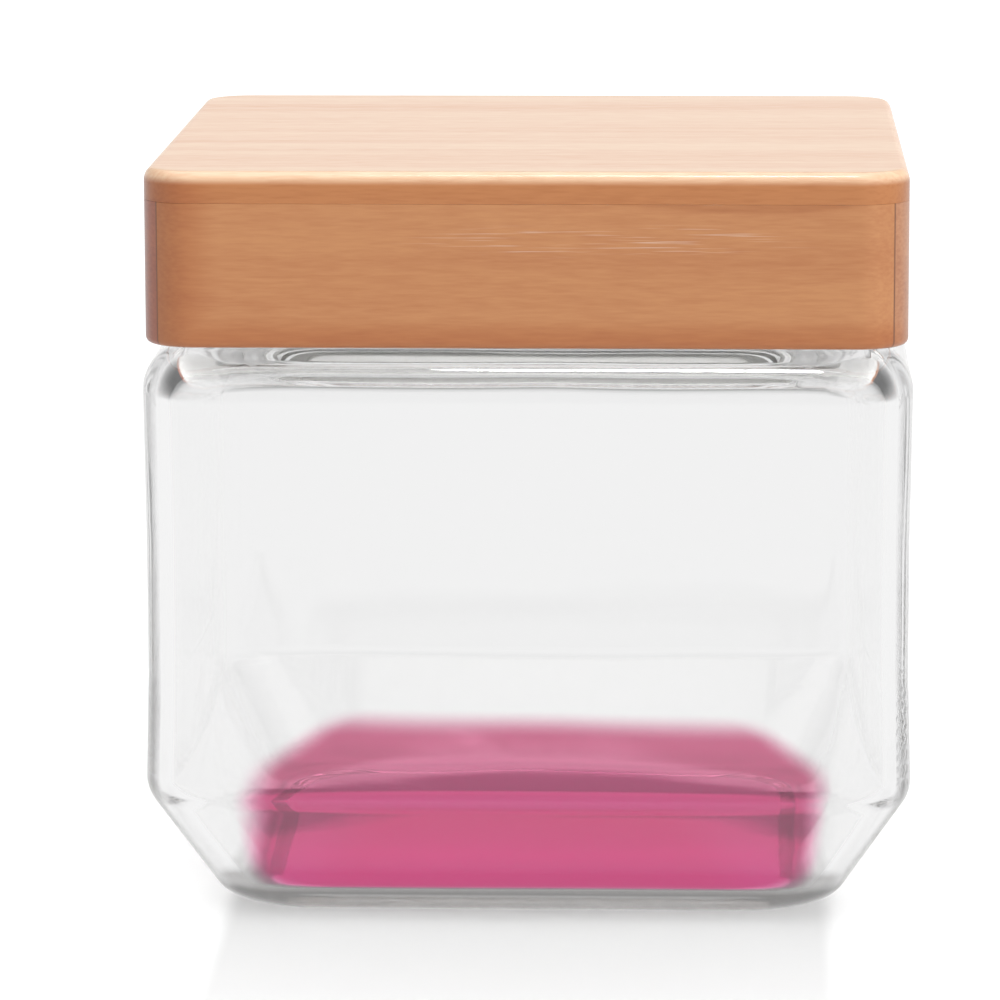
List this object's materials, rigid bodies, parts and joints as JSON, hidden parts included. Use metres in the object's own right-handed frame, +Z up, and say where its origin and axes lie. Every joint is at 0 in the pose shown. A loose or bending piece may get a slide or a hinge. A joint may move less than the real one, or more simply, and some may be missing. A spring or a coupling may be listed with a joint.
{
  "type": "square candy jar with framed wooden lid",
  "caption": "Square clear glass jar with a chamfered, pink-tinted base and a lift-off wooden lid that plugs the mouth with a soft finned seal.",
  "frame": {"origin": "middle of the base, on the surface that the jar stands on", "axes": "+Z up along the middle axis, -Y towards the front that the picture shows, +X to the viewer's right"},
  "size_m": [0.1116, 0.1116, 0.11],
  "materials": {
    "clear_glass": "clear pressed soda-lime glass, glossy",
    "lid_board_wood": "pale pine, satin lacquer",
    "lid_frame_wood": "orange-brown pine, satin lacquer",
    "lid_plug_wood": "bare wood, fine sanded",
    "seal_silicone": "translucent white silicone, matt"
  },
  "bodies": {
    "jar": {"glass_jar": "clear_glass"},
    "lid": {"lid_top_board": "lid_board_wood", "lid_front_strip": "lid_frame_wood", "lid_right_strip": "lid_frame_wood", "lid_back_strip": "lid_frame_wood", "lid_left_strip": "lid_frame_wood", "lid_plug_board": "lid_plug_wood", "seal_ring": "seal_silicone"}
  },
  "joints": [
    {"name": "lid_lift", "type": "slide", "parent": "jar", "child": "lid", "axis": [0, 0, 1], "range_m": [0, 0.08]}
  ]
}
